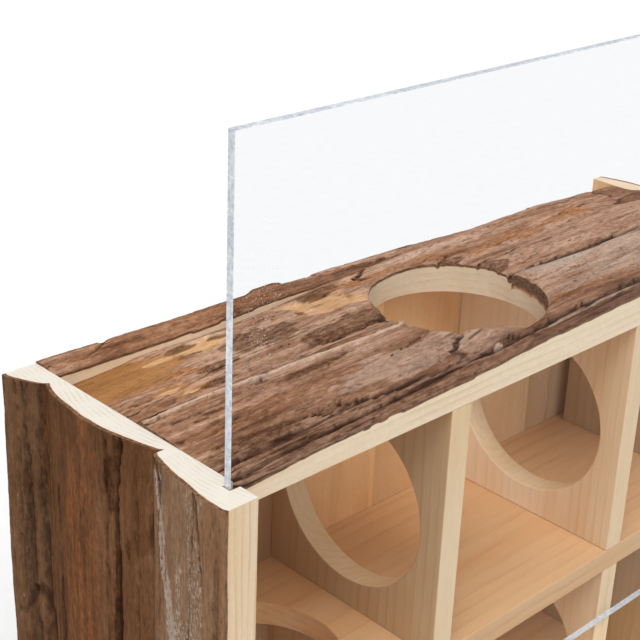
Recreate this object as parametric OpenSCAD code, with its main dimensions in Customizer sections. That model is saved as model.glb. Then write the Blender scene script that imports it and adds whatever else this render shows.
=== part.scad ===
// Upright hamster house: two floors of three chambers in pine boards, walled on the outside
// with bark-on slabs, and closed at the front by a clear pane that lifts out of its grooves.
//
// Frame: +X to the right, +Y to the back, +Z up. The origin is at the middle of the footprint,
// on the ground. The pane is drawn as it stands half lifted.

/* [Case] */
// Depth of the side walls, front to back
case_depth = 100; // [95:1:110]
// Height of the side walls
case_height = 210; // [190:1:230]
// Clear width of one chamber
chamber_width = 87; // [80:1:100]
// Thickness of the dividers and of the shelf
board_thickness = 9; // [7:0.5:12]
// Distance from the top of the side walls down to the underside of the roof
roof_drop = 9; // [8:0.5:10]
// Distance from the top of the side walls down to the shelf's upper face
shelf_drop = 100.5; // [95:0.5:110]
// Height of the lowest floor above the ground
floor_height = 9; // [8:0.5:12]
// Depth taken by the back wall, bark included
back_depth = 11.5; // [10:0.5:13]
// How far the end boards stand in front of the right side wall
end_space = 16; // [0:0.5:20]
// Slot left behind the end boards
end_slot = 4.5; // [2:0.5:8]

/* [Holes] */
// Radius of the passage through each divider
passage_radius = 32; // [25:0.5:34]
// Height of a passage's centre above the floor it stands on
passage_height = 42.5; // [40:0.5:46]
// Radius of the way up through the shelf
shelf_hole_radius = 30; // [22:0.5:32]
// Radius of the way out through the roof
roof_hole_radius = 30; // [22:0.5:31]
// How far the roof hole lies to the left of the middle
roof_hole_left = 5.5; // [0:0.5:8]

/* [Pane] */
// Thickness of the clear pane
pane_thickness = 2.4; // [2:0.1:2.6]
// Height of the pane
pane_height = 225; // [205:1:230]
// How high the pane's lower edge stands above the ground
pane_lift = 80; // [10:0.5:200]
// Wall left in front of the pane's groove
groove_lip = 7; // [5:0.5:9]
// Width of the groove, front to back
groove_width = 3; // [2.8:0.1:3.5]
// Depth of the groove into the side wall
groove_depth = 3.6; // [3:0.1:4.5]
// Space between the pane and the bottom of each groove
groove_play = 0.4; // [0.3:0.1:0.8]

/* [Brads] */
// Radius of a brad's shank
brad_radius = 0.7; // [0.5:0.1:0.8]
// Radius of a brad's head
brad_head_radius = 1.1; // [0.9:0.1:1.2]
// Length of a brad, head included
brad_length = 20; // [16:1:22]
// How deep a head is sunk under the bark
brad_sink = 1.5; // [1:0.5:2]

/* [Hidden] */
$fn = 96;

bark = [0.36, 0.24, 0.17];
roof_bark = [0.47, 0.33, 0.26];
pine = [0.85, 0.68, 0.47];
clear = [0.86, 0.91, 0.96, 0.35];
steel = [0.62, 0.62, 0.64];

front = -case_depth / 2;
back = case_depth / 2;
inner_width = 3 * chamber_width + 2 * board_thickness;
half_width = inner_width / 2;
roof_underside = case_height - roof_drop;
shelf_top = case_height - shelf_drop;
shelf_underside = shelf_top - board_thickness;
groove_back = front + groove_lip + groove_width;
wall_front = back - back_depth;
divider_x = chamber_width / 2 + board_thickness / 2;
end_board_x = half_width - end_space - board_thickness / 2;
board_rows = [-divider_x, divider_x, end_board_x];
shelf_middle = shelf_top - board_thickness / 2;
passage_y = (groove_back + wall_front) / 2 + 2;
room_middle_y = (groove_back + wall_front) / 2;
slop = 1;

// Where the slabs of a wall meet, from the front edge back, and the thickness of each at its
// front edge, middle and rear edge
left_seams = [0, 34.5, 86.5, case_depth];
left_thickness = [[11.4, 10.9, 7.4], [4.4, 9.9, 6.2], [6, 10.3, 12.8]];
right_seams = [0, 41, 74, case_depth];
right_thickness = [[12.8, 11.6, 7], [8, 11.2, 9.4], [9.6, 9, 5.5]];
floor_seams = [0, 38, 76, case_depth];
floor_thickness = [[6, 8.4, 6.4], [7, 8.5, 7.2], [6.6, 8.2, 6]];

// The back wall's slabs are equal in width; thickness at the left edge, middle and right edge
back_thickness = [
    [9, 11, 7.5], [8.5, 11.5, 9], [7, 10.6, 8.6],
    [9.2, 11.3, 7.8], [8.2, 10.8, 9.2], [9, 11.5, 8]
];
back_slab_width = inner_width / len(back_thickness);

// The roof's slabs: where they meet, counted from the front edge of the side walls
roof_front_seam = groove_lip + groove_width;
roof_middle_seam = 51;
roof_rear_seam = 90.5;

// Height of a curved face at u = 0 to 1 between its values at the start, middle and end
function curve(u, ends) =
    ends[0] * (2 * u - 1) * (u - 1) + ends[1] * 4 * u * (1 - u) + ends[2] * u * (2 * u - 1);

curve_steps = 12;

// Outline of a slab's cross-section: flat along the axis from 0 to width, curved above it
function slab_outline(width, ends) = concat(
    [[0, 0]],
    [for (i = [0 : curve_steps]) [width * i / curve_steps, curve(i / curve_steps, ends)]],
    [[width, 0]]
);

// Thickness of a wall of several slabs at a distance from its front edge
function wall_thickness(seams, ends, at) =
    let (i = at < seams[1] ? 0 : at < seams[2] ? 1 : 2)
    curve((at - seams[i]) / (seams[i + 1] - seams[i]), ends[i]);

// A brad lying along +Z with the outside of its head at z = 0, point upwards
module brad() {
    point = 1.5;
    head = 0.8;
    cylinder(r = brad_head_radius, h = head);
    cylinder(r = brad_radius, h = brad_length - point);
    translate([0, 0, brad_length - point])
        cylinder(r1 = brad_radius, r2 = 0.1, h = point);
}

// The same with the hole that the sunk head leaves behind it
module brad_hole() {
    brad();
    translate([0, 0, -20])
        cylinder(r = brad_head_radius, h = 20 + 0.4);
}

// Side brads: [distance from the front edge, height], one for each board end behind a slab
front_row = 24;
middle_row = 66;
rear_row = 94;
side_brad_places = [
    for (y = [front_row, middle_row], z = [shelf_middle, floor_height - 3.5]) [y, z],
    for (y = [front_row, middle_row]) [y, roof_underside + 2],
    for (z = [40, shelf_middle, 170]) [rear_row, z]
];

// Places side brads in the wall at the right, or mirrored in the wall at the left
module side_brads(seams, ends) {
    for (at = side_brad_places) {
        outside = half_width + wall_thickness(seams, ends, at[0]) - brad_sink;
        translate([outside, front + at[0], at[1]])
            rotate([0, -90, 0])
                children();
    }
}

module left_brad_places() {
    mirror([1, 0, 0])
        side_brads(left_seams, left_thickness)
            children();
}

module right_brad_places() {
    side_brads(right_seams, right_thickness)
        children();
}

// Roof brads go down into the dividers, the end board and the back wall
roof_brad_rows = [front_row + 4, middle_row + 4];
roof_brad_top = roof_underside + 4;
module roof_brad_places() {
    for (x = board_rows, y = roof_brad_rows)
        translate([x, front + y, roof_brad_top])
            rotate([180, 0, 0])
                children();
    for (x = [-2.5, -0.5, 1.5] * back_slab_width)
        translate([x, front + rear_row, roof_brad_top])
            rotate([180, 0, 0])
                children();
}

// Floor brads go up into the dividers, the end board and the back wall
module floor_brad_places() {
    for (x = board_rows, y = roof_brad_rows)
        translate([x, front + y, floor_height - 5])
            children();
    for (x = [-1.5, 0.5, 2.5] * back_slab_width)
        translate([x, front + rear_row, floor_height - 5])
            children();
}

// Back brads go through each slab of the back wall into the shelf
module back_brad_places() {
    for (i = [0 : len(back_thickness) - 1])
        translate([
            -half_width + (i + 0.35) * back_slab_width,
            wall_front + curve(0.35, back_thickness[i]) - brad_sink,
            shelf_middle
        ])
            rotate([90, 0, 0])
                children();
}

// One slab of a side wall, drawn at the right
module side_slab(seams, ends, i) {
    translate([half_width, front + seams[i], 0])
        linear_extrude(case_height)
            mirror([1, 0, 0])
                rotate(90)
                    polygon(slab_outline(seams[i + 1] - seams[i], ends[i]));
}

// The pane's groove, cut in both side walls from end to end
module pane_groove() {
    translate([-half_width - groove_depth, front + groove_lip, -slop])
        cube([inner_width + 2 * groove_depth, groove_width, case_height + 2 * slop]);
}

module left_slab(i) {
    color(bark)
        difference() {
            mirror([1, 0, 0])
                side_slab(left_seams, left_thickness, i);
            pane_groove();
            left_brad_places()
                brad_hole();
        }
}

module right_slab(i) {
    color(bark)
        difference() {
            side_slab(right_seams, right_thickness, i);
            pane_groove();
            right_brad_places()
                brad_hole();
        }
}

// Cuts away all that lies above a plane through a point, which rises to the right and leans
// towards the front by the two angles
module above(point, rise, lean) {
    reach = 2 * inner_width;
    translate(point)
        rotate([lean, -rise, 0])
            translate([-reach / 2, -reach / 2, 0])
                cube([reach, reach, 40]);
}

// A roof slab is as long as the house is wide inside. Its bark side is hewn to planes.
module roof_slab(from, to, planes) {
    color(roof_bark)
        difference() {
            translate([-half_width, front + from, roof_underside])
                cube([inner_width, to - from, 20]);
            for (p = planes)
                above([0, front + p[0], case_height + p[1]], p[2], p[3]);
            roof_hole();
            roof_brad_places()
                brad_hole();
            left_brad_places()
                brad_hole();
            right_brad_places()
                brad_hole();
        }
}

module roof_hole() {
    translate([-roof_hole_left, 0, roof_underside - slop])
        cylinder(r = roof_hole_radius, h = 30);
}

// Planes are [distance from the front edge, height over the side walls' top, rise, lean]
module roof_front_slab() {
    roof_slab(roof_front_seam, roof_middle_seam, [
        [10, -0.6, 1.8, 12],
        [30, 2, 0.7, 0],
        [48, 2, 0.7, -8]
    ]);
}

module roof_middle_slab() {
    roof_slab(roof_middle_seam, roof_rear_seam, [
        [54, 0.6, 0.5, 10],
        [70, 1.4, 0.5, -2],
        [90, 0, 2.2, -6]
    ]);
}

module roof_rear_slab() {
    roof_slab(roof_rear_seam, case_depth, [
        [93, -1, -1, 6],
        [100, -2.4, -1.1, -4]
    ]);
}

// A floor slab lies between the side walls with its bark side down
module floor_slab(i) {
    width = floor_seams[i + 1] - floor_seams[i];
    color(bark)
        difference() {
            translate([-half_width, front + floor_seams[i], floor_height])
                rotate([90, 0, 90])
                    linear_extrude(inner_width)
                        mirror([0, 1])
                            polygon(slab_outline(width, floor_thickness[i]));
            floor_brad_places()
                brad_hole();
            left_brad_places()
                brad_hole();
            right_brad_places()
                brad_hole();
        }
}

// The back wall's slabs stand on the floor slabs and carry the roof
module back_slab(i) {
    color(bark)
        difference() {
            translate([-half_width + i * back_slab_width, wall_front, floor_height])
                linear_extrude(roof_underside - floor_height)
                    polygon(slab_outline(back_slab_width, back_thickness[i]));
            back_brad_places()
                brad_hole();
            roof_brad_places()
                brad();
            floor_brad_places()
                brad();
            left_brad_places()
                brad();
            right_brad_places()
                brad();
        }
}

// The board between the two floors, with the way up in the left chamber
module shelf() {
    color(pine)
        difference() {
            translate([-half_width, groove_back, shelf_underside])
                cube([inner_width, wall_front - groove_back, board_thickness]);
            translate([-chamber_width - board_thickness, room_middle_y, shelf_underside - slop])
                cylinder(r = shelf_hole_radius, h = board_thickness + 2 * slop);
            left_brad_places()
                brad();
            right_brad_places()
                brad();
            back_brad_places()
                brad();
        }
}

// A divider between two chambers, standing on the floor at the given height
module divider(x, base, top) {
    color(pine)
        difference() {
            translate([x - board_thickness / 2, groove_back, base])
                cube([board_thickness, wall_front - groove_back, top - base]);
            translate([x, passage_y, base + passage_height])
                rotate([0, 90, 0])
                    cylinder(r = passage_radius, h = board_thickness + 2 * slop, center = true);
            roof_brad_places()
                brad();
            floor_brad_places()
                brad();
        }
}

// A board that closes a right chamber a little way in front of the side wall
module end_board(base, top) {
    depth = wall_front - end_slot - groove_back;
    color(pine)
        difference() {
            translate([end_board_x - board_thickness / 2, groove_back, base])
                cube([board_thickness, depth, top - base]);
            roof_brad_places()
                brad();
            floor_brad_places()
                brad();
        }
}

// The clear pane, which runs in the side walls' grooves
module front_pane() {
    width = inner_width + 2 * (groove_depth - groove_play);
    play = (groove_width - pane_thickness) / 2;
    color(clear)
        translate([-width / 2, front + groove_lip + play, pane_lift])
            cube([width, pane_thickness, pane_height]);
}

module brads() {
    color(steel)
        children();
}

for (i = [0 : 2]) {
    left_slab(i);
    right_slab(i);
    floor_slab(i);
}
for (i = [0 : 5])
    back_slab(i);
roof_front_slab();
roof_middle_slab();
roof_rear_slab();
shelf();
divider(-divider_x, shelf_top, roof_underside);  // upper_left_divider
divider(divider_x, shelf_top, roof_underside);  // upper_right_divider
divider(-divider_x, floor_height, shelf_underside);  // lower_left_divider
divider(divider_x, floor_height, shelf_underside);  // lower_right_divider
end_board(shelf_top, roof_underside);  // upper_end_board
end_board(floor_height, shelf_underside);  // lower_end_board
front_pane();
brads() left_brad_places() brad();  // left_brads
brads() right_brad_places() brad();  // right_brads
brads() roof_brad_places() brad();  // roof_brads
brads() floor_brad_places() brad();  // floor_brads
brads() back_brad_places() brad();  // back_brads
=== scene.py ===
"""Looks of the upright hamster house: bark-on slabs, pine boards and a clear sliding pane.

Every wooden piece is a mesh made here in the place of its CAD node. Lengths in the slab and
board code are millimetres along the grain (u), across it (v) and out to the bark (w).
"""
import math

import bmesh
import bpy
import numpy as np
from mathutils import Matrix, Vector

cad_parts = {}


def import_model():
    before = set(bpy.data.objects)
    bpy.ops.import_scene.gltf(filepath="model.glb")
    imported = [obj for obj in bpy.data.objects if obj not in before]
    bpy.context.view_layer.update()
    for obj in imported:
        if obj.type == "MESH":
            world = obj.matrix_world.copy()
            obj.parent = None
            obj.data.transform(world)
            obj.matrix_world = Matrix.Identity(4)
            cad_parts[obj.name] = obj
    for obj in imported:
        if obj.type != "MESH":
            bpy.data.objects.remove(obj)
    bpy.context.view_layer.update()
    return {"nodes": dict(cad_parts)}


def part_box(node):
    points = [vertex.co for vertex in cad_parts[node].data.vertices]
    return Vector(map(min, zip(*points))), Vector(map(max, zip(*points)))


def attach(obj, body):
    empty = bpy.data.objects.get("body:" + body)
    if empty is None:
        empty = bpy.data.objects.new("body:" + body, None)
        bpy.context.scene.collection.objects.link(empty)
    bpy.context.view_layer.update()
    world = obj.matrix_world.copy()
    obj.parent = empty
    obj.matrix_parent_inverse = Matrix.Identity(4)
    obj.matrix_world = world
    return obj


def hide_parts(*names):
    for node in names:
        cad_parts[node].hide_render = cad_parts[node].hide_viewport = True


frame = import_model()

MM = 0.001
CASE, PANE = "case", "pane"
X, Y, Z = np.eye(3)
PARTS = ("front", "middle", "rear")

# Round ways through, in mm
ROOF_HOLE = (-5.5, 0.0)       # the roof hole's centre in plan
ROOF_HOLE_RADIUS = 30.0
SHELF_HOLE_RADIUS = 30.0
PASSAGE_RADIUS = 32.0
PASSAGE_BEHIND = 2.0          # a passage's centre behind the middle of the shelf's depth
PASSAGE_HEIGHT = 42.5         # and over the foot of its divider
ROOF_BAR, BOARD_BAR = 40, 20  # half lengths of the bars that cut the holes

# Meshes, in mm
FINE = 0.55            # between the points of a bark face seen from close by
COARSE = 1.1           # the same on the faces turned away
END_ROWS = (0.9, 1.7)  # depths of the rows of points under a slab's bark edge
THINNEST = 1.2         # the least height of a slab's bark face over its flat face

# First random seeds of the side walls, of the roof and floor, and of the back wall
SIDE_SEED, ROOF_SEED, BACK_SEED = 3, 9, 15

# Camera, in metres and degrees
CAMERA_AT = (-0.3475, -0.2788, 0.3993)
CAMERA_HEADING, CAMERA_PITCH, CAMERA_ROLL = -44.82, -24.29, -2.32
CAMERA_LENS = 79.9
FLOOR_HALF = 60        # half the side of the white floor, in metres


# ---------------------------------------------------------------- random fields

def smoothstep(low, high, x):
    t = np.clip((x - low) / (high - low), 0, 1)
    return t * t * (3 - 2 * t)


def lattice(x, y, seed):
    """A smooth random field from -1 to 1 that changes over a distance of 1 in x and in y."""
    table = np.random.RandomState(seed).uniform(-1, 1, (128, 128))
    column, row = np.floor(x).astype(int), np.floor(y).astype(int)
    s, t = smoothstep(0, 1, x - column), smoothstep(0, 1, y - row)

    def at(i, j):
        return table[(column + i) % 128, (row + j) % 128]

    low = at(0, 0) * (1 - s) + at(1, 0) * s
    high = at(0, 1) * (1 - s) + at(1, 1) * s
    return low * (1 - t) + high * t


def fractal(x, y, seed, octaves=3):
    """Several lattices of ever finer grain, from -1 to 1."""
    total, size = 0, 0
    for octave in range(octaves):
        weight = 0.55 ** octave
        step = 2.03 ** octave
        total = total + weight * lattice(x * step + 17 * octave, y * step, seed + octave)
        size += weight
    return total / size


def plates(x, y, seed):
    """Distance to the seam between random cells about 1 across, and a random tone per cell."""
    random = np.random.RandomState(seed)
    shift = random.uniform(0.1, 0.9, (64, 64, 2))
    tones = random.uniform(0, 1, (64, 64))
    column, row = np.floor(x).astype(int), np.floor(y).astype(int)
    first = np.full(np.shape(x), 9.0)
    second, tone = first.copy(), first * 0
    for i in (-1, 0, 1):
        for j in (-1, 0, 1):
            at = (column + i) % 64, (row + j) % 64
            away = np.hypot(column + i + shift[at][..., 0] - x, row + j + shift[at][..., 1] - y)
            second = np.where(away < first, first, np.minimum(second, away))
            tone = np.where(away < first, tones[at], tone)
            first = np.minimum(first, away)
    return second - first, tone


# ---------------------------------------------------------------- marks on the bark

def patch(at, reach, ragged=0.35, soft=0.18):
    """A ragged patch round a place: 1 inside, 0 outside."""
    def mask(u, v, seed):
        away = np.hypot((u - at[0]) / reach[0], (v - at[1]) / reach[1])
        return 1 - smoothstep(1 - soft, 1.0, away + ragged * fractal(u / 11, v / 3, seed, 5))
    return mask


def split(points, width, wander=0.5, ragged=0.5):
    """A ragged streak through some points: 1 in its middle, 0 beside it, fading at its ends."""
    along, across = zip(*points)

    def mask(u, v, seed):
        middle = np.interp(u, along, across) + wander * fractal(u / 8, u * 0, seed, 5)
        half = width * (0.75 + ragged * fractal(u / 7, u * 0 + 5, seed + 7, 3))
        fade = smoothstep(along[0], along[0] + 8, u) * (1 - smoothstep(along[-1] - 8, along[-1], u))
        return fade * (1 - smoothstep(0.35, 1.0, np.abs(v - middle) / np.maximum(half, 0.05)))
    return mask


def before(points, jag=0.6):
    """All that lies in front of a torn line through some points."""
    along, across = zip(*points)

    def mask(u, v, seed):
        torn = np.interp(u, along, across) + jag * fractal(u / 9, u * 0, seed, 3)
        return 1 - smoothstep(-0.3, 0.3, v - torn)
    return mask


def faint(weight, part):
    """A mark that counts only in part."""
    return lambda u, v, seed: weight * part(u, v, seed)


def hole_rim(at, radius):
    """A narrow ring of chipped bark round a drilled hole."""
    def mask(u, v, seed):
        out = np.hypot(u - at[0], v - at[1]) - radius
        return 1 - smoothstep(0.0, 0.9 + 0.9 * fractal(u / 4, v / 4, seed, 3), out)
    return mask


# ---------------------------------------------------------------- bark-on slabs

# The make of a slab's bark. Lengths are in mm.
#   plate: length and width of its plates; drift: how far they wander across the grain
#   furrow: width of the seams between plates, in plates; deep: their depth
#   layers: how many layers lie open; ledge: the step from one to the next
#   ridge, crumbs: relief of the fine ridges and of the crumbs
#   lift: mean height over the CAD's face; edge: what is worn off at the long edges
#   brim: what is added along the front edge
#   rind: thickness of the bark where it is cut, away from the slab's front edge
FURROWED = {  # slabs of the walls and floor: long plates with fine furrows
    "plate": (170, 12), "drift": 0.8, "furrow": 0.05, "deep": 0.6, "layers": 1.2, "ledge": 0.16,
    "edge": 0.5, "lift": -0.05, "rind": 1.3, "ridge": 0.3, "crumbs": 0.15, "brim": 0.0,
}
FLAKY = {  # roof slabs: thin overlapping flakes with ragged edges
    "plate": (120, 15), "drift": 2.2, "furrow": 0.04, "deep": 0.7, "layers": 3.0, "ledge": 0.5,
    "edge": 0.2, "lift": 0.6, "rind": 1.3, "ridge": 0.35, "crumbs": 0.2, "brim": 0.0,
}
ROOF_LOOKS = {"roof_front_slab": {"rind": 5.0, "brim": 2.7}, "roof_middle_slab": {"rind": 1.0}}
# Added to the tone of a slab's plates, to make it paler or darker
SHADES = {"left_front_slab": 0.80, "left_middle_slab": -0.20, "left_rear_slab": -0.20}

# Kinds of mark: low is torn down to strands, peel is bare wood, grey is dust, and dark, warm and
# pale are tints. DEPTHS has the mm that the rest, and peel, take off the bark or add to it.
MARKS = ("low", "sunk", "swell", "peel", "crack_and_shade", "grey", "chip", "dark", "warm", "pale")
DEPTHS = {"crack_and_shade": 1.9, "peel": 0.5, "chip": 0.8, "sunk": 3.0, "swell": -4.0}
BARK, SAWN, ENDS, INNER, BORE = range(5)  # the material slots of a slab


class Slab:
    """A bark-on board, flat on the inside, in the place of a CAD node."""

    def __init__(self, node, along, across, out, look, seed, cell, marks=None):
        self.node, self.axes = node, np.array([along, across, out])
        self.look, self.seed, self.cell, self.marks = look, seed, cell, marks or {}
        low, high = (np.array(corner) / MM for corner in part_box(node))
        self.origin = np.where(self.axes.sum(0) > 0, low, high)
        self.length, self.width, _ = np.abs(self.axes @ (high - low))
        self.planes = self.outer_planes()

    def local(self, points):
        """Points of the frame, in metres, as u, v and w."""
        return ((np.asarray(points) / MM - self.origin) @ self.axes.T).T

    def placed(self, u, v, w):
        """The other way round, as a list of corners in metres."""
        return (self.origin + np.stack([u, v, w], -1) @ self.axes) * MM

    def outer_planes(self):
        """The CAD slab's outer face as planes w = a + b u + c v, of which the lowest counts."""
        mesh = frame["nodes"][self.node].data
        planes = set()
        for face in mesh.polygons:
            b, c, up = self.axes @ np.array(face.normal)
            if up > 0.5 and face.area > 20 * MM * MM:
                u, v, w = self.local([face.center])
                slope_u, slope_v = -b / up, -c / up
                height = w[0] - slope_u * u[0] - slope_v * v[0]
                planes.add((round(float(height), 2), round(float(slope_u), 3), round(float(slope_v), 3)))
        return sorted(planes)

    def crown(self, u, v):
        """Height of the smooth outer face: the lowest plane with rounded ridges, and the brim."""
        soft = 0.3
        heights = np.array([a + b * u + c * v for a, b, c in self.planes])
        lowest = heights.min(0)
        smooth = lowest - soft * np.log(np.exp(-(heights - lowest) / soft).sum(0)) * 0.5
        return smooth + self.look["brim"] * (1 - smoothstep(0, 11, v))

    def drift(self, u, v):
        """How far the plates and layers lie off their places, across the grain."""
        return self.look["drift"] * fractal(u / 60, v / 18, self.seed + 1, 3)

    def layers(self, u, v):
        """Which layer of bark lies open, as a number that changes slowly along the grain."""
        field = fractal(u / 60, (v + self.drift(u, v)) / 8, self.seed + 5, 6)
        return self.look["layers"] * (0.5 + 0.8 * field)

    def ledges(self, u, v):
        """The height of the open layer, in layers, and the shade under each torn edge."""
        layer, delta = self.layers(u, v), 0.3
        slope = np.abs(self.layers(u, v + delta) - layer) / delta + 0.01
        past = (layer - np.floor(layer)) / slope
        height = np.floor(layer) + smoothstep(0.0, 0.5, past)
        return height, (1 - smoothstep(0.1, 0.75, past)) * smoothstep(0.02, 0.10, slope)

    def furrows(self, u, v):
        """The seams between plates, 1 in the middle of a seam, and a random tone per plate."""
        (length, width), seed = self.look["plate"], self.seed
        slide = 22 * fractal(u / 70, v / 10, seed + 2, 2)
        gap, tone = plates((u + slide) / length, (v + self.drift(u, v)) / width, seed)
        furrow = 1 - smoothstep(0.01, self.look["furrow"], gap + 0.02 * fractal(u / 4, v / 1.5, seed + 3))
        return furrow * smoothstep(-0.25, 0.15, fractal(u / 50, v / 15, seed + 4, 2)), tone

    def worn_edge(self, u, v):
        """1 at the slab's long edges, 0 a ragged millimetre or two inside them."""
        side = np.minimum(v, self.width - v)
        return 1 - smoothstep(0.0, 1.6 + 1.2 * fractal(u / 6, v * 0, self.seed + 6, 4), side)

    def mark(self, kind, u, v):
        """All the marks of one kind together."""
        total = np.zeros(np.shape(u))
        for number, mask in enumerate(self.marks.get(kind, ())):
            total = np.maximum(total, mask(u, v, self.seed + 31 * number + 11))
        return total

    def fine_relief(self, u, v, marks, furrow, ledge, strands):
        """What steps, furrows, ridges, crumbs and marks take off the bark or add to it."""
        look, seed, cover = self.look, self.seed, 1 - marks["peel"]
        fine = look["ledge"] * (ledge - look["layers"] * 0.5).clip(-2, 1) * cover
        fine = fine - look["deep"] * furrow * cover - DEPTHS["crack_and_shade"] * marks["crack_and_shade"]
        fine = fine - look["ridge"] * np.abs(fractal(u / 18, v / 1.3, seed + 9, 3))
        fine = fine - look["crumbs"] * np.abs(fractal(u / 3.2, v / 1.5, seed + 10, 3)) * cover
        fine = fine - marks["low"] * (1.1 - 0.9 * strands)
        return fine - DEPTHS["peel"] * marks["peel"] - DEPTHS["chip"] * marks["chip"]

    def fields(self, u, v):
        """The bark's relief in mm over the smooth face, and the fields that colour it."""
        marks = {kind: self.mark(kind, u, v) for kind in MARKS}
        low, cover = marks["low"], 1 - marks["peel"]
        furrow, tone = self.furrows(u, v)
        ledge, under = self.ledges(u, v)
        edge = self.worn_edge(u, v)
        strands = fractal(u / 34, v / 0.8, self.seed + 12, 4)

        off_ends = smoothstep(0.3, 3.5, np.minimum(u, self.length - u))
        fine = off_ends * self.fine_relief(u, v, marks, furrow, ledge, strands)
        relief = self.look["lift"] + 0.5 * fractal(u / 50, v / 9, self.seed + 8, 3) + fine
        relief = relief - self.look["edge"] * edge
        relief = relief - DEPTHS["sunk"] * marks["sunk"] - DEPTHS["swell"] * marks["swell"]

        # Painted shade: besides real cracks, furrows and worn edges, the crack field darkens the bark under
        # the torn ledges, along the torn edge of the low parts and in the hollows between their strands.
        torn = 4 * low * (1 - low)
        crack_and_shade = marks["crack_and_shade"] + 0.7 * furrow * cover + 0.6 * under * cover + 0.4 * torn + 0.25 * edge
        crack_and_shade = crack_and_shade + 0.75 * low * smoothstep(-0.05, -0.45, strands)
        dark = np.maximum(marks["dark"], 0.45 * low)
        return {
            "relief": relief, "crack_and_shade": np.clip(crack_and_shade, 0, 1), "tone": tone + SHADES.get(self.node, 0),
            "peel": marks["peel"], "grey": marks["grey"] * cover,
            "zone": np.stack([dark, marks["warm"], marks["pale"]], -1),
        }

    def bark_face(self):
        """The points of the bark face: u, v and w, each as a grid."""
        u, v = np.meshgrid(
            np.linspace(0, self.length, int(self.length / self.cell / 1.3) + 1),
            np.linspace(0, self.width, int(self.width / self.cell) + 1), indexing="ij",
        )
        return u, v, np.maximum(self.crown(u, v) + self.fields(u, v)["relief"], THINNEST)

    def mesh(self):
        """The closed slab: bark face, sawn sides and ends in rows down to the flat face."""
        u, v, w = self.bark_face()
        nu, nv = u.shape
        index = np.arange(nu * nv).reshape(nu, nv)
        rim = np.concatenate([index[:, 0], index[-1, 1:], index[-2::-1, -1], index[0, -2:0:-1]])
        rim_slots = ([SAWN] * (nu - 1) + [ENDS] * (nv - 1)) * 2

        u, v, w = u.ravel(), v.ravel(), w.ravel()
        rows = [w[rim] - np.minimum(depth, 0.5 * w[rim]) for depth in END_ROWS]
        rows += [w[rim] * 0.25, w[rim] * 0]
        corners = [self.placed(u, v, w)] + [self.placed(u[rim], v[rim], row) for row in rows]

        top = np.stack([index[:-1, :-1], index[1:, :-1], index[1:, 1:], index[:-1, 1:]], -1)
        faces = top.reshape(-1, 4).tolist()
        slots = [BARK] * len(faces)
        above = rim
        for row in range(len(rows)):
            below = nu * nv + row * len(rim) + np.arange(len(rim))
            wall = np.stack([above, below, np.roll(below, -1), np.roll(above, -1)], -1)
            faces += wall.tolist()
            slots += rim_slots
            above = below
        faces.append(above[::-1].tolist())
        slots.append(INNER)
        return np.concatenate(corners), faces, slots

    def pith(self):
        """The middle of the tree, some way behind the flat face, for the growth rings."""
        across = self.width * (0.5 + 0.15 * math.sin(self.seed))
        return np.array([0, across, -70 - 10 * math.cos(self.seed)])

    def build(self, materials, slot, cutters=()):
        """Makes the piece, with the cutters' shapes taken out and its materials' fields stored."""
        corners, faces, slots = self.mesh()
        piece = new_piece(self.node + "_wood", corners, faces, materials, slots, smooth_slot=BARK)
        for cutter in cutters:
            cut(piece, cutter, BORE)
        u, v, w = self.local(corners_of(piece))
        fields = self.fields(u, v)
        surface = self.crown(u, v) + fields.pop("relief")
        at_front = 0.9
        rind = at_front + (self.look["rind"] - at_front) * smoothstep(2, 16, v)
        paint_points(
            piece, grain=np.stack([u + 37 * self.seed, v, w], -1), pith=np.tile(self.pith(), (len(u), 1)),
            depth=(surface - w) / rind, **fields,
        )
        finish_piece(piece, CASE, slot, self.node)


# ---------------------------------------------------------------- mesh helpers

def new_piece(name, corners, faces, materials, slots=None, smooth_slot=None):
    """A mesh object with outward normals, its materials and one smooth-shaded slot."""
    mesh = bpy.data.meshes.new(name)
    mesh.from_pydata(np.asarray(corners).tolist(), [], faces)
    for material in materials:
        mesh.materials.append(material)
    if slots is not None:
        mesh.polygons.foreach_set("material_index", slots)
        mesh.polygons.foreach_set("use_smooth", [s == smooth_slot for s in slots])
    shape = bmesh.new()
    shape.from_mesh(mesh)
    bmesh.ops.recalc_face_normals(shape, faces=shape.faces)
    shape.to_mesh(mesh)
    shape.free()
    piece = bpy.data.objects.new(name, mesh)
    bpy.context.scene.collection.objects.link(piece)
    return piece


def corners_of(piece):
    flat = np.zeros(len(piece.data.vertices) * 3)
    piece.data.vertices.foreach_get("co", flat)
    return flat.reshape(-1, 3)


def box_shape(low, high):
    """Corners and faces of a box."""
    corners = [(x, y, z) for x in (low[0], high[0]) for y in (low[1], high[1]) for z in (low[2], high[2])]
    faces = [(0, 1, 3, 2), (4, 6, 7, 5), (0, 4, 5, 1), (2, 3, 7, 6), (0, 2, 6, 4), (1, 5, 7, 3)]
    return corners, faces


def disc_shape(centre, axis, radius, half, sides=144):
    """Corners and faces of a round bar through centre, along a frame axis."""
    a, b = np.roll(axis, 1), np.roll(axis, 2)
    turn = np.linspace(0, 2 * math.pi, sides, endpoint=False)
    ring = np.outer(np.cos(turn), a) * radius + np.outer(np.sin(turn), b) * radius + np.array(centre)
    corners = np.concatenate([ring - axis * half, ring + axis * half])
    step = np.arange(sides)
    after = np.roll(step, -1)
    walls = np.stack([step, after, after + sides, step + sides], -1).tolist()
    return corners, walls + [step[::-1].tolist(), (step + sides).tolist()]


def cut(piece, cutter, slot):
    """Takes the cutter's shape out of a piece, and gives the cut one of the piece's materials."""
    corners, faces = cutter
    tool = new_piece("cutter", corners, faces, list(piece.data.materials), [slot] * len(faces))
    boolean = piece.modifiers.new("cut", "BOOLEAN")
    boolean.operation, boolean.solver, boolean.object = "DIFFERENCE", "EXACT", tool
    apply_modifiers(piece)
    bpy.data.objects.remove(tool)


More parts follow.
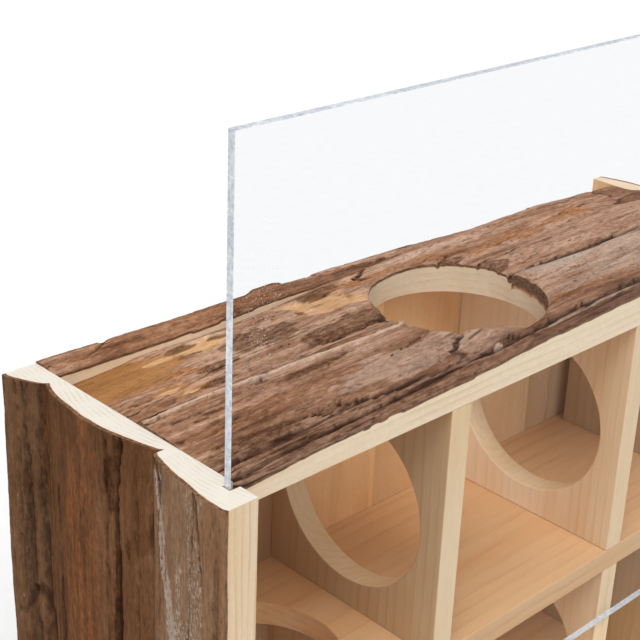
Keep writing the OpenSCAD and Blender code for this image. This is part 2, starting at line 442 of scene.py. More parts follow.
def apply_modifiers(piece):
    """Puts the result of a piece's modifiers in its mesh."""
    bpy.context.view_layer.update()
    whole = bpy.data.meshes.new_from_object(piece.evaluated_get(bpy.context.evaluated_depsgraph_get()))
    piece.modifiers.clear()
    piece.data = whole


def bevel(piece, width, segments=2, angle=40):
    edge = piece.modifiers.new("edge", "BEVEL")
    edge.width, edge.segments = width, segments
    edge.limit_method, edge.angle_limit = "ANGLE", math.radians(angle)
    apply_modifiers(piece)


def paint_points(piece, **fields):
    """Stores a number or a vector at each point, for the materials to read."""
    for name, values in fields.items():
        kind, part = ("FLOAT_VECTOR", "vector") if np.ndim(values) == 2 else ("FLOAT", "value")
        layer = piece.data.attributes.new(name, kind, "POINT")
        layer.data.foreach_set(part, np.ravel(values).astype(np.float32))


def finish_piece(piece, body, slot, *nodes):
    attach(piece, body)
    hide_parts(*nodes)


# ---------------------------------------------------------------- materials

class Paint:
    """A Principled material built from short calls, each of which returns a socket."""

    def __init__(self, name, roughness=0.8, specular=0.3):
        self.material = bpy.data.materials.new(name)
        self.material.use_nodes = True
        tree = self.material.node_tree
        self.nodes, self.links = tree.nodes, tree.links
        self.shader = tree.nodes["Principled BSDF"]
        self.shader.inputs["Roughness"].default_value = roughness
        self.shader.inputs["Specular IOR Level"].default_value = specular

    def node(self, kind, output, inputs, **settings):
        made = self.nodes.new("ShaderNode" + kind)
        for key, value in settings.items():
            setattr(made, key, value)
        for key, value in inputs.items():
            self.feed(made.inputs[key], value)
        return made.outputs[output]

    def feed(self, socket, value):
        if isinstance(value, bpy.types.NodeSocket):
            self.links.new(value, socket)
        else:
            socket.default_value = value

    def field(self, name, output="Fac"):
        return self.node("Attribute", output, {}, attribute_name=name)

    def parts(self, vector):
        """A vector's three numbers, as outputs X, Y and Z."""
        return self.node("SeparateXYZ", "X", {0: vector}).node.outputs

    def stretch(self, vector, scale):
        return self.node("VectorMath", 0, {0: vector, 1: scale}, operation="MULTIPLY")

    def noise(self, vector, scale, detail=3.0, roughness=0.55):
        """Noise whose grain is 1/scale mm along each axis."""
        at = self.stretch(vector, scale)
        inputs = {"Vector": at, "Scale": 1.0, "Detail": detail, "Roughness": roughness}
        return self.node("TexNoise", 0, inputs)

    def math(self, operation, *values, clamp=False):
        return self.node("Math", 0, dict(enumerate(values)), operation=operation, use_clamp=clamp)

    def step(self, value, low, high):
        """0 below low, 1 above high, smooth between."""
        inputs = {"Value": value, "From Min": low, "From Max": high}
        return self.node("MapRange", 0, inputs, interpolation_type="SMOOTHSTEP")

    def ramp(self, fac, *stops):
        made = self.nodes.new("ShaderNodeValToRGB")
        self.feed(made.inputs[0], fac)
        for number, (at, colour) in enumerate(stops):
            elements = made.color_ramp.elements
            stop = elements[number] if number < 2 else elements.new(at)
            stop.position, stop.color = at, (*colour, 1)
        return made.outputs[0]

    def mix(self, fac, a, b, blend="MIX"):
        a, b = ((*c, 1) if isinstance(c, tuple) else c for c in (a, b))
        return self.node("Mix", 2, {0: fac, 6: a, 7: b}, data_type="RGBA", blend_type=blend)

    def shaded(self, colour, value):
        """A colour socket times the number in another socket."""
        grey = self.node("CombineColor", 0, {0: value, 1: value, 2: value})
        return self.mix(1.0, colour, grey, "MULTIPLY")

    def ring_radius(self, grain):
        """Distance from the pith, across the grain."""
        away = self.node("VectorMath", 0, {0: grain, 1: self.field("pith", "Vector")}, operation="SUBTRACT")
        away = self.stretch(away, (0.0, 1.0, 1.0))
        return self.node("VectorMath", "Value", {0: away}, operation="LENGTH")

    def bump(self, height, distance, strength=1.0):
        """Adds relief of a height in mm that is too fine for the mesh."""
        normal = self.node("Bump", 0, {"Strength": strength, "Distance": distance * MM, "Height": height})
        self.links.new(normal, self.shader.inputs["Normal"])

    def colour(self, socket):
        self.links.new(socket, self.shader.inputs["Base Color"])
        return self.material


def dimmed(colour, share):
    """A colour times a number."""
    return tuple(share * part for part in colour)


def wood_grain(p, grain, pale, line, spacing):
    """Growth rings round the pith, thin and dark at the end of each year, with fine fibres."""
    wave = p.noise(grain, (0.012, 0.05, 0.05), 3.0)
    radius = p.math("MULTIPLY_ADD", wave, 5.0, p.ring_radius(grain))
    year = p.math("FRACT", p.math("DIVIDE", radius, spacing))
    broken = p.step(p.noise(grain, (0.02, 0.3, 0.3), 2.0), 0.25, 0.75)
    late = p.math("MULTIPLY", p.math("POWER", year, 3.0), broken)
    fibres = p.noise(grain, (0.08, 2.2, 2.2), 4.0, 0.65)
    tint = p.mix(late, pale, line)
    return p.shaded(tint, p.math("MULTIPLY_ADD", fibres, 0.22, 0.89)), fibres, late


def bark_edge(p, wood):
    """Under a slab's bark: dark bark, a thin orange inner layer, then wood."""
    grain, depth = p.field("grain", "Vector"), p.field("depth")
    wander = p.noise(grain, (0.10, 0.25, 0.25), 3.0)
    depth = p.math("MULTIPLY_ADD", p.math("SUBTRACT", wander, 0.5), -0.35, depth)
    orange = (0.35, (0.30, 0.13, 0.05)), (0.65, (0.55, 0.27, 0.10))
    brown = (0.35, (0.085, 0.044, 0.022)), (0.65, (0.24, 0.135, 0.072))
    inner = p.ramp(p.noise(grain, (0.1, 0.8, 0.8)), *orange)
    outer = p.ramp(p.noise(grain, (0.3, 0.9, 0.9)), *brown)
    layered = p.mix(p.step(depth, 0.74, 0.90), outer, inner)
    return p.mix(p.step(depth, 0.90, 1.1), layered, wood)


def sawn_wood(name, pale, line, spacing=2.6, edged=True, lit_side_tint=None):
    """Softwood seen along the grain, with bark at its edges and, if asked for, a paler tint towards one
    side that is painted light.
    """
    p = Paint(name, 0.72, 0.25)
    grain = p.field("grain", "Vector")
    tint, fibres, late = wood_grain(p, grain, pale, line, spacing)
    # Painted light: the tint given here makes the wood paler towards one side, where the light falls.
    if lit_side_tint:
        across = p.parts(grain)["Z"]
        lit_side_wood = p.mix(late, lit_side_tint, dimmed(lit_side_tint, 0.85))
        tint = p.mix(p.step(across, -32, 12), tint, lit_side_wood)
    cloud = p.noise(grain, (0.01, 0.06, 0.06), 2.0)
    tint = p.mix(p.step(cloud, 0.35, 0.75), tint, p.mix(1.0, tint, (0.96, 0.88, 0.78), "MULTIPLY"))
    saw = p.noise(grain, (0.45, 0.45, 0.45), 3.0, 0.7)
    if edged:
        tint = bark_edge(p, p.shaded(tint, p.math("MULTIPLY_ADD", saw, 0.20, 0.90)))
    p.bump(p.math("ADD", fibres, p.math("MULTIPLY", saw, 0.5)), 0.12, 0.6)
    return p.colour(tint)


def end_grain(name, pale, line):
    """A sawn end: growth rings as arcs round the pith."""
    p = Paint(name, 0.8, 0.15)
    grain = p.field("grain", "Vector")
    wave = p.noise(grain, (0.05, 0.08, 0.08), 3.0)
    radius = p.math("MULTIPLY_ADD", wave, 2.5, p.ring_radius(grain))
    year = p.math("FRACT", p.math("DIVIDE", radius, 1.6))
    broken = p.step(p.noise(grain, (0.3, 0.12, 0.12)), 0.3, 0.7)
    late = p.math("MULTIPLY", p.math("POWER", year, 2.5), broken)
    pores = p.noise(grain, (0.5, 2.6, 2.6), 3.0, 0.7)
    tint = p.shaded(p.mix(late, pale, line), p.math("MULTIPLY_ADD", pores, 0.16, 0.92))
    p.bump(pores, 0.10, 0.5)
    return p.colour(bark_edge(p, tint))


# Colours of the bark: dark, middle and light by its plates and streaks, which are spread over more
# or less of their range; the furrows, also used for the painted shade under torn ledges and edges;
# bare wood from brown to orange, and peach; the warm tint from dark to light; the pale tint. "spotted" is
# how strong the dark spots are.
SIDE_BARK = {
    "dark": (0.070, 0.028, 0.010), "middle": (0.136, 0.058, 0.023), "light": (0.235, 0.122, 0.062),
    "spread": 0.22, "furrow": (0.030, 0.012, 0.005), "spotted": 0.5,
    "bare": ((0.26, 0.11, 0.035), (0.50, 0.27, 0.11)), "peach": (0.6, 0.4, 0.2),
    "warm": ((0.15, 0.052, 0.018), (0.24, 0.09, 0.032)), "pale": (0.29, 0.19, 0.115),
}
ROOF_BARK = {
    "dark": (0.135, 0.056, 0.027), "middle": (0.335, 0.168, 0.095), "light": (0.560, 0.343, 0.230),
    "spread": 0.125, "furrow": (0.050, 0.021, 0.010), "spotted": 1.0,
    "bare": ((0.25, 0.105, 0.033), (0.45, 0.215, 0.080)), "peach": (0.68, 0.40, 0.205),
    "warm": ((0.26, 0.10, 0.035), (0.54, 0.25, 0.11)), "pale": (0.65, 0.45, 0.33),
}
SHADOW = (0.32, 0.27, 0.22), (0.64, 0.58, 0.52)  # what a dark mark leaves of the bark's colour
DUST = (0.50, 0.42, 0.35)


def bark_noises(p):
    """The random fields that colour bark, each drawn out along the grain."""
    grain = p.field("grain", "Vector")
    return {
        "streaks": p.noise(grain, (0.02, 0.34, 0.34), 5.0, 0.66),
        "blotch": p.noise(grain, (0.035, 0.10, 0.10), 4.0, 0.6),
        "crumbs": p.noise(grain, (0.35, 0.9, 0.9), 5.0, 0.72),
        "fibres": p.noise(grain, (0.14, 2.2, 2.2), 4.0, 0.68),
        "flecks": p.noise(grain, (0.7, 1.7, 1.7), 4.0, 0.7),
        "bands": p.noise(grain, (0.018, 0.13, 0.13), 3.0, 0.5),
        "spots": p.step(p.noise(grain, (0.10, 0.42, 0.42), 3.0, 0.6), 0.58, 0.66),
        "pits": p.step(p.noise(grain, (0.35, 1.1, 1.1), 3.0, 0.6), 0.60, 0.68),
    }


def plain_bark(p, noise, look):
    """The bark's own colour, by its plates, streaks and blotches, with dark spots and pits."""
    mixed = p.math("MULTIPLY_ADD", p.field("tone"), 0.16, p.math("MULTIPLY", noise["streaks"], 0.45))
    mixed = p.math("MULTIPLY_ADD", noise["blotch"], 0.30, mixed)
    mixed = p.math("MULTIPLY_ADD", noise["crumbs"], 0.16, mixed)
    centre, spread = 0.53, look["spread"]
    stops = (centre - spread, look["dark"]), (centre + spread, look["light"]), (centre, look["middle"])
    skin = p.ramp(mixed, *stops)
    spots = p.math("MULTIPLY", noise["spots"], 0.5 * look["spotted"])
    skin = p.mix(spots, skin, dimmed(look["dark"], 0.7))
    pits = p.math("MULTIPLY", noise["pits"], 0.55 * look["spotted"])
    return p.mix(pits, skin, dimmed(look["dark"], 0.8))


def tinted_bark(p, skin, noise, zone, look):
    """Bark with its dark, warm and pale marks."""
    crumbs = noise["crumbs"]
    shadow = p.ramp(crumbs, (0.38, SHADOW[0]), (0.62, SHADOW[1]))
    skin = p.mix(zone["X"], skin, p.mix(1.0, skin, shadow, "MULTIPLY"))
    glow = p.math("MULTIPLY", zone["Y"], p.step(noise["streaks"], 0.30, 0.60))
    skin = p.mix(glow, skin, p.ramp(crumbs, (0.35, look["warm"][0]), (0.65, look["warm"][1])))
    faded = p.math("MULTIPLY", zone["Z"], p.step(noise["blotch"], 0.20, 0.50))
    pale = p.ramp(crumbs, (0.35, dimmed(look["pale"], 0.8)), (0.65, dimmed(look["pale"], 1.15)))
    return p.mix(faded, skin, pale)


def dusted(p, skin, noise):
    """Bark with flecks of pale dust, thick where it is marked grey."""
    dust = p.math("MULTIPLY_ADD", p.field("grey"), 0.80, -1.35)
    dust = p.step(p.math("MULTIPLY_ADD", noise["flecks"], 2.2, dust), 0.28, 0.62)
    return p.mix(p.math("MULTIPLY", dust, 0.6), skin, DUST)


def bare_wood(p, noise, zone, look):
    """The wood where the bark is peeled: brown to orange bands, peach where it is marked pale."""
    brown, orange = look["bare"]
    bare = p.ramp(noise["bands"], (0.36, brown), (0.64, orange))
    bare = p.mix(p.math("MULTIPLY", zone["Z"], p.step(noise["blotch"], 0.25, 0.5)), bare, look["peach"])
    bare = p.mix(p.math("MULTIPLY", noise["pits"], 0.4), bare, dimmed(brown, 0.5))
    return p.mix(p.math("MULTIPLY", zone["X"], 0.8), bare, dimmed(brown, 0.5))


def bark_skin(name, look):
    """The outer face of a slab: bark, with bare wood where it is peeled."""
    p = Paint(name, 0.9, 0.1)
    noise = bark_noises(p)
    zone = p.parts(p.field("zone", "Vector"))
    shade = p.math("MULTIPLY_ADD", noise["fibres"], 0.9, p.math("MULTIPLY_ADD", noise["crumbs"], 0.9, 0.1))
    skin = tinted_bark(p, plain_bark(p, noise, look), noise, zone, look)
    skin = dusted(p, p.shaded(skin, shade), noise)
    # Painted shade: the crack field, real cracks together with the shade under torn ledges and edges,
    # darkens the bark to the furrow colour.
    skin = p.mix(p.step(p.field("crack_and_shade"), 0.15, 0.95), skin, look["furrow"])
    bare = p.shaded(bare_wood(p, noise, zone, look), shade)
    p.bump(p.math("ADD", p.math("MULTIPLY", noise["fibres"], 0.7), noise["crumbs"]), 0.6, 0.9)
    return p.colour(p.mix(p.field("peel"), skin, bare))


def steel():
    p = Paint("brad_steel", 0.35, 0.5)
    p.shader.inputs["Metallic"].default_value = 1.0
    at = p.node("TexCoord", "Object", {})
    p.bump(p.noise(at, (900, 900, 4000)), 0.02, 0.4)
    tint = p.ramp(p.noise(at, (300, 300, 300)), (0.3, (0.42, 0.42, 0.44)), (0.7, (0.62, 0.62, 0.64)))
    return p.colour(tint)


def pane_dust(p):
    """How dusty the sheet is: a few specks near its upper left corner."""
    at = p.node("TexCoord", "Object", {})
    specks = p.node("TexVoronoi", "Distance", {"Vector": p.stretch(at, (1000, 1000, 1000)), "Scale": 1.0})
    low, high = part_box("front_pane")
    middle_x, middle_z = low.x + 11 * MM, high.z - 50 * MM
    scale_x, scale_z = 90, 32
    place = {0: p.stretch(at, (scale_x, 0, scale_z)), 1: (scale_x * middle_x, 0, scale_z * middle_z)}
    away = p.node("VectorMath", "Value", place, operation="DISTANCE")
    dots = p.math("MULTIPLY", p.step(specks, 0.24, 0.12), p.step(away, 1.0, 0.2))
    return p.math("MULTIPLY", dots, 0.35)


def pane_face():
    """The clear sheet's faces: see-through, with a gloss that grows at a slant, and some dust."""
    p = Paint("acrylic_face")
    p.nodes.remove(p.shader)
    clear = p.node("BsdfTransparent", 0, {"Color": (0.958, 0.960, 0.968, 1)})
    gloss = p.node("BsdfGlossy", 0, {"Color": (1, 1, 1, 1), "Roughness": 0.03})
    dust = p.node("BsdfDiffuse", 0, {"Color": (0.9, 0.9, 0.92, 1)})
    slant = p.node("LayerWeight", "Facing", {"Blend": 0.5})
    mirror = p.math("MULTIPLY_ADD", p.math("POWER", slant, 5.0), 0.25, 0.0003)
    sheet = p.node("MixShader", 0, {0: mirror, 1: clear, 2: gloss})
    sheet = p.node("MixShader", 0, {0: pane_dust(p), 1: sheet, 2: dust})
    p.links.new(sheet, p.nodes["Material Output"].inputs["Surface"])
    return p.material


def pane_edge():
    """The sheet's sawn edges, frosted and a little blue."""
    p = Paint("acrylic_edge", 0.45, 0.5)
    at = p.node("TexCoord", "Object", {})
    mottle = p.noise(at, (900, 900, 900), 4.0, 0.7)
    cloud = p.noise(at, (60, 60, 60), 2.0)
    mixed = p.math("MULTIPLY_ADD", mottle, 0.7, p.math("MULTIPLY", cloud, 0.3))
    p.bump(mottle, 0.1, 0.6)
    return p.colour(p.ramp(mixed, (0.36, (0.36, 0.40, 0.45)), (0.64, (0.74, 0.77, 0.80))))


# ---------------------------------------------------------------- marks of each slab

def left_front_marks():
    """Two fine cracks, with pale dust and dark streaks beside them."""
    return {
        "crack_and_shade": [
            split([(-10, 31), (100, 30.5), (220, 31)], 0.35),
            faint(0.5, split([(90, 12), (212, 13)], 0.25)),
        ],
        "grey": [
            faint(1.05, split([(20, 24), (165, 24), (182, 28), (195, 30), (212, 31)], 5.0, 1.2)),
            faint(0.8, split([(30, 20), (120, 21), (190, 20)], 3.0, 1.0)),
            faint(0.7, patch((140, 12), (80, 5), 0.8)), faint(0.6, patch((199, 12.5), (9, 1.5), 0.7)),
        ],
        "dark": [
            faint(0.6, patch((204, 12), (5, 1.2), 0.4)), faint(0.5, patch((150, 3), (60, 1.5), 0.5)),
        ],
        "pale": [faint(0.5, patch((120, 17), (170, 16), 0.5, 0.6))],
    }


def left_middle_marks():
    """A deep furrow with dark bark beside it, finer cracks and a warm middle."""
    return {
        "crack_and_shade": [
            split([(-10, 14.3), (120, 14.6), (188, 14.7), (200, 14.0), (220, 12)], 1.6, 0.4),
            split([(60, 21), (150, 19), (220, 18)], 0.35), split([(90, 8.5), (170, 7.5), (205, 8)], 0.35),
            split([(-10, 48), (150, 48.3), (190, 49.6), (220, 50)], 0.5, 0.3),
        ],
        "dark": [
            split([(-10, 15.5), (120, 16), (200, 15), (220, 15)], 1.6, 0.6, 0.8),
            patch((193, 17), (11, 2.2), 0.5), patch((175, 11), (4, 1.0), 0.4),
            patch((80, 44), (90, 2), 0.6), patch((198, 18.5), (4, 0.8), 0.4),
        ],
        "warm": [patch((120, 32), (120, 12), 0.5, 0.5)],
    }


def left_rear_marks():
    """Two cracks, dark bark at the seam and a little dust."""
    return {
        "crack_and_shade": [
            split([(-10, 4), (110, 4.5), (170, 5), (220, 7)], 0.4),
            split([(-10, 9), (160, 8.4), (220, 9)], 0.3),
        ],
        "dark": [
            split([(-10, 1.5), (110, 1.8), (220, 1.5)], 2.0, 0.5, 0.6),
            patch((150, 6), (90, 2), 0.7, 0.5),
        ],
        "pale": [faint(0.15, patch((110, 9), (200, 12), 0.5, 0.5))],
        "grey": [faint(0.45, patch((150, 9), (60, 2.5), 0.9, 0.9))],
    }


def way_out_rim(node):
    """The chipped bark round the way out, on one of the roof's slabs."""
    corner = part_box(node)[0]
    return hole_rim((ROOF_HOLE[0] - corner.x / MM, ROOF_HOLE[1] - corner.y / MM), ROOF_HOLE_RADIUS)


def roof_front_marks():
    """A torn front edge with fissures behind it, a grey ridge at the rear, and pale weathered parts."""
    torn_edge = [
        (-5, 10), (20, 10.5), (40, 12), (50, 14.5), (54, 12), (64, 9.6), (85, 9.8), (100, 8.7), (117, 11),
        (128, 7.2), (145, 8.6), (170, 9), (205, 10), (290, 9),
    ]
    ridge = [(-12, 38.6), (13, 38.3), (30, 38.4), (43, 38.0), (55, 38.2), (71, 37.3), (91, 36.4), (114, 37)]
    fissure = [(-8, 5), (14, 4.4), (45, 5.2), (79, 6.0), (105, 6.8), (128, 7.0)]
    lip = [(130, 6.2), (160, 6.4), (172, 6.4), (195, 7), (230, 6.2), (290, 6)]
    plate_edge = [(50, 25), (66, 23), (77, 21.8), (88, 23.6), (101, 25.2), (110, 30), (116, 35)]
    return {
        "low": [before(torn_edge)],
        "swell": [
            faint(0.6, patch((121, 14), (16, 7), 0.1, 0.8)), faint(0.2, split(ridge, 1.8, 0.2, 0.2)),
        ],
        "sunk": [patch((215, 45), (78, 11), 0.1, 0.9)],
        "crack_and_shade": [
            split(fissure, 1.7, 0.35, 0.15),
            split([(40, 12.5), (50, 15), (53, 12.6), (64, 10.2), (90, 10)], 0.7, 0.3),
            split([(120, 9), (128, 6.8), (150, 8), (200, 8.4), (290, 7)], 1.3),
            split(plate_edge, 0.4, 0.3), split([(0, 22), (30, 24), (50, 23), (62, 20)], 0.3),
            split([(160, 20), (220, 26), (290, 24)], 0.5),
            split([(u, v - 1.5) for u, v in ridge], 0.45, 0.25),
            split([(u, v + 1.7) for u, v in ridge], 0.8, 0.3),
            split([(-10, 33), (2, 32.9), (17, 33.5), (30, 34)], 0.4, 0.2),
        ],
        "grey": [
            split([(160, 37), (188, 38), (205, 38), (230, 36), (290, 35)], 3.5, 0.8),
            faint(1.5, patch((189, 35.2), (15, 1.8), 0.5)), faint(0.8, patch((235, 24), (75, 14), 0.6)),
            split(lip, 0.8, 0.3), patch((116.5, 7.4), (1.8, 0.8), 0.8),
            patch((118, 5.2), (1.3, 0.5), 0.8),
        ],
        "dark": [
            split(fissure, 2.6, 0.5, 0.4), patch((14, 13), (22, 4), 0.6),
            faint(0.5, split([(-8, 1.5), (290, 1.5)], 3.0, 0.4)),
            patch((14.5, 30.2), (3.5, 0.9), 0.2, 0.3), patch((20, 31.6), (4.5, 1.2), 0.2, 0.3),
            patch((24, 27), (10, 1.0), 0.6), patch((60, 33), (20, 2), 0.7),
        ],
        "pale": [
            split(ridge, 1.5, 0.2, 0.2), faint(0.45, patch((88, 18), (36, 7), 0.5)),
            faint(0.32, patch((120, 15), (22, 7), 0.3)), faint(0.5, patch((200, 35), (40, 5), 0.4)),
            patch((197, 36), (8, 1.6), 0.3), faint(0.5, patch((77, 25.3), (6, 1.5), 0.4)),
            faint(0.4, patch((250, 30), (70, 6), 0.7)), patch((116.5, 7.4), (2.2, 1.1), 0.5),
            faint(0.6, split(lip, 0.5, 0.3)),
        ],
        "warm": [
            faint(0.35, patch((34, 24), (34, 6), 0.7, 0.5)),
            faint(0.6, patch((190, 16), (50, 4), 0.6, 0.5)),
        ],
        "chip": [way_out_rim("roof_front_slab")],
    }


def roof_middle_marks():
    """Orange and peach wood laid bare, dark patches round it, and warm bark behind the way out."""
    peach_strip = [(80, 38), (88, 34), (94, 29), (100, 24), (106, 20), (116, 18)]
    return {
        "peel": [
            patch((8, 30), (38, 13), 0.2, 0.3), patch((33, 31.5), (8, 3), 0.4),
            patch((50, 31), (13, 6), 0.4), split(peach_strip, 7.5, 0.8, 0.6),
            patch((97, 25.5), (13, 8.5), 0.4), patch((20, 11), (8, 2), 0.7),
            patch((25, 6), (7, 1.4), 0.7),
        ],
        "pale": [
            patch((33, 31.5), (6, 2.2), 0.5), patch((50, 31), (12, 5.5), 0.4),
            split(peach_strip, 7.0, 0.8, 0.6), patch((97, 25.5), (12, 8), 0.4),
            patch((20, 11), (6, 1.6), 0.7), patch((25, 6), (5, 1.1), 0.7),
            faint(0.5, patch((150, 36), (50, 2), 0.5)),
        ],
        "sunk": [
            patch((290, 42), (80, 40), 0.1, 0.9), faint(0.75, patch((72, 41.5), (46, 6.5), 0.05, 0.9)),
        ],
        "crack_and_shade": [
            split([(0, 9), (40, 11), (80, 8)], 0.4),
            # Painted shade: a dark, cut line along the front edge right of the way out, for the shadowed
            # gap between the front and middle slabs.
            split([(160, 1.0), (172, 1.0), (290, 0.8)], 1.5, 0.4),
            split([(38, 29), (50, 25.5), (62, 26), (75, 22)], 0.5),
            split([(84, 13), (104, 10.5), (110, 12)], 0.7),
            split([(60, 4), (80, 3), (112, 3.8)], 0.9, 0.5),
            split([(86, 32), (96, 31.5), (112, 33)], 0.4, 0.4),
        ],
        "dark": [
            patch((43, 34.5), (7, 1.8), 0.5), patch((42, 28), (5, 1.4), 0.5),
            patch((59, 33.5), (7, 2.2), 0.5), patch((104, 34.5), (12, 3.2), 0.4),
            patch((65, 20), (17, 7), 0.6), patch((60, 27), (3, 1.4), 0.4), patch((39, 14), (9, 2.4), 0.7),
            patch((33, 5), (8, 2), 0.7), patch((88, 7), (20, 5), 0.5), patch((165, 8.5), (7, 4), 0.4),
            patch((150, 20), (14, 4), 0.6),
        ],
        "warm": [
            split([(110, 34), (138, 32), (150, 28.5), (175, 24), (208, 23), (245, 26)], 7.0, 1.2, 0.8),
            patch((22, 18), (22, 5), 0.6, 0.5), patch((124, 33), (20, 5), 0.5, 0.5),
        ],
        "chip": [way_out_rim("roof_middle_slab")],
    }


def roof_rear_marks():
    """Cracks, a small hump, and bark that sinks at its front edge and towards the right."""
    return {
        "crack_and_shade": [split([(20, 4), (90, 5), (160, 4)], 0.4), split([(-8, 7), (4, 3), (8, 1)], 0.5)],
        "warm": [faint(0.3, patch((50, 5), (60, 6), 0.5, 0.5))],
        "sunk": [
            patch((300, 5), (160, 30), 0.1, 0.9), faint(0.75, patch((22, -1), (85, 6.5), 0.05, 0.9)),
        ],
        "swell": [faint(0.35, patch((91, 8), (9, 4), 0.2, 0.4))],
    }


def slab_marks():
    """The marks of each slab that is seen from close by."""
    return {
        "left_front_slab": left_front_marks(),
        "left_middle_slab": left_middle_marks(),
        "left_rear_slab": left_rear_marks(),
        "roof_front_slab": roof_front_marks(),
        "roof_middle_slab": roof_middle_marks(),
        "roof_rear_slab": roof_rear_marks(),
    }


# ---------------------------------------------------------------- pieces

def slab_paints():
    """The bark, sides, ends and inner faces of slabs in all the walls."""
    bark = bark_skin("bark_side", SIDE_BARK)
    sawn = sawn_wood("sawn_edge", (0.70, 0.56, 0.40), (0.50, 0.33, 0.18), 2.2)
    ends = end_grain("end_grain", (0.73, 0.68, 0.60), (0.62, 0.54, 0.42))
    inner = sawn_wood("inner_face", (0.79, 0.52, 0.28), (0.69, 0.41, 0.20), 3.4)
    return bark, sawn, ends, inner


def build_sides(paints):
    """Three slabs on end at each side, the front ones with the pane's grooves."""
    marks = slab_marks()
    bark, sawn, ends, inner = paints
    # Painted shade: a darker, more tan copy of the end grain for the right wall's ends behind the pane.
    shaded_far_ends = end_grain("right_end_grain_painted_shade", (0.80, 0.63, 0.45), (0.66, 0.48, 0.30))
    seed = SIDE_SEED
    for side, out, cell, side_ends in (("left", -X, FINE, ends), ("right", X, COARSE, shaded_far_ends)):
        for part in PARTS:
            node = f"{side}_{part}_slab"
            slab = Slab(node, Z, Y, out, FURROWED, seed, cell, marks.get(node))
            cutters = [pane_groove()] if part == "front" else []
            slab.build([bark, sawn, side_ends, inner, sawn], "bark_wood", cutters)
            seed += 1


def build_roof_and_floor(paints):
    """Three slabs along the house above and below, with a round way out through the roof."""
    marks = slab_marks()
    bark, sawn, ends, inner = paints
    roof_bark = bark_skin("bark_roof", ROOF_BARK)
    strip = sawn_wood("roof_strip", (0.87, 0.72, 0.52), (0.75, 0.56, 0.36))
    bore = sawn_wood("roof_bore", (0.69, 0.56, 0.40), (0.60, 0.45, 0.29))
    seed = ROOF_SEED
    for part in PARTS:
        node = f"roof_{part}_slab"
        look = {**FLAKY, **ROOF_LOOKS.get(node, {})}
        slab = Slab(node, X, Y, Z, look, seed, FINE, marks[node])
        cutters = [roof_way_out()] if part != "rear" else []
        slab.build([roof_bark, strip, ends, inner, bore], "roof_bark", cutters)
        floor = Slab(f"floor_{part}_slab", X, Y, -Z, FURROWED, seed + 1, COARSE)
        floor.build([bark, sawn, ends, inner], "bark_wood")
        seed += 2


def build_back(paints):
    """Six slabs on end, their inner faces of different woods, one of them a darkened copy of the inner wood
    for painted shade.
    """
    bark, sawn, ends, inner = paints
    woods = [
        inner,
        # Painted shade: the inner wood darkened, for the shade at the rear of the left chamber.
        sawn_wood("painted_shade_back", (0.49, 0.32, 0.18), (0.41, 0.25, 0.13), 3.4),
        sawn_wood("orange_back", (0.95, 0.60, 0.30), (0.82, 0.47, 0.21), 3.4),
        sawn_wood("brown_back", (0.82, 0.52, 0.27), (0.70, 0.41, 0.19), 3.4),
        sawn_wood("pale_back", (0.94, 0.70, 0.44), (0.84, 0.58, 0.33), 3.4),
        sawn_wood("grey_back", (0.78, 0.60, 0.40), (0.64, 0.47, 0.29), 3.4),
    ]
    for number, wood in enumerate(woods):
        slab = Slab(f"back_slab_{number + 1}", Z, X, Y, FURROWED, BACK_SEED + number, COARSE)
        slab.build([bark, sawn, ends, wood], "bark_wood")


def roof_way_out():
    """The cutter for the round way out through the roof."""
    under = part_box("roof_front_slab")[0].z / MM
    centre = np.array([*ROOF_HOLE, under]) * MM
    return disc_shape(centre, Z, ROOF_HOLE_RADIUS * MM, ROOF_BAR * MM)


def pane_groove():
    """The cutter for the grooves that the pane runs in, one box through both side walls."""
    low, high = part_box("front_pane")
    roof_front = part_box("roof_front_slab")[0].y
    play = roof_front - high.y
    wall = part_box("left_front_slab")
    reach = 0.4 * MM
    return box_shape(
        (low.x - reach, low.y - play, wall[0].z - MM), (high.x + reach, roof_front, wall[1].z + MM)
    )


def build_board(node, along, seed, material, edge_wood, hole=None):
    """A planed board with eased edges, and a round passage if hole is given."""
    low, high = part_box(node)
    piece = new_piece(node + "_board", *box_shape(low, high), [material, edge_wood])
    if hole:
        cut(piece, disc_shape(*hole), 1)
    for face in piece.data.polygons:
        face.material_index = 1 if abs(face.normal.y) > 0.9 else 0
    if hole:
        paint_hole(piece, hole)
    bevel(piece, 0.45 * MM)
    paint_board(piece, along, seed, np.array(low + high) / 2 / MM)
    for face in piece.data.polygons:
        face.use_smooth = face.area < 40 * MM * MM
    finish_piece(piece, CASE, "pine", node)


def paint_board(piece, along, seed, middle):
    """Lays the grain along a board, with the pith of its tree off to one side."""
    across, out = (axis for axis in (X, Y, Z) if abs(axis @ along) < 0.5)
    corners = corners_of(piece) / MM
    grain = np.stack([corners @ along + 41 * seed, corners @ across, corners @ out], -1)
    pith = np.array([0, middle @ across + 14 * math.sin(seed), middle @ out + 38 + 9 * math.cos(seed)])
    paint_points(
        piece, grain=grain, pith=np.tile(pith, (len(grain), 1)), depth=np.full(len(grain), 50.0)
    )


def paint_hole(piece, hole):
    """Gives the wall of a passage the lighter wood of a fresh cut."""
    centre, axis, radius, _ = hole
    for face in piece.data.polygons:
        away = np.array(face.center) - np.array(centre)
        away = away - axis * (away @ axis)
        if np.linalg.norm(away) < radius * 1.01 and abs(np.array(face.normal) @ axis) < 0.5:
            face.material_index = 1


def board_wood(name, pale, line, spacing=3.6, lit_side_tint=None):
    """Planed pine."""
    return sawn_wood(name, pale, line, spacing, edged=False, lit_side_tint=lit_side_tint)


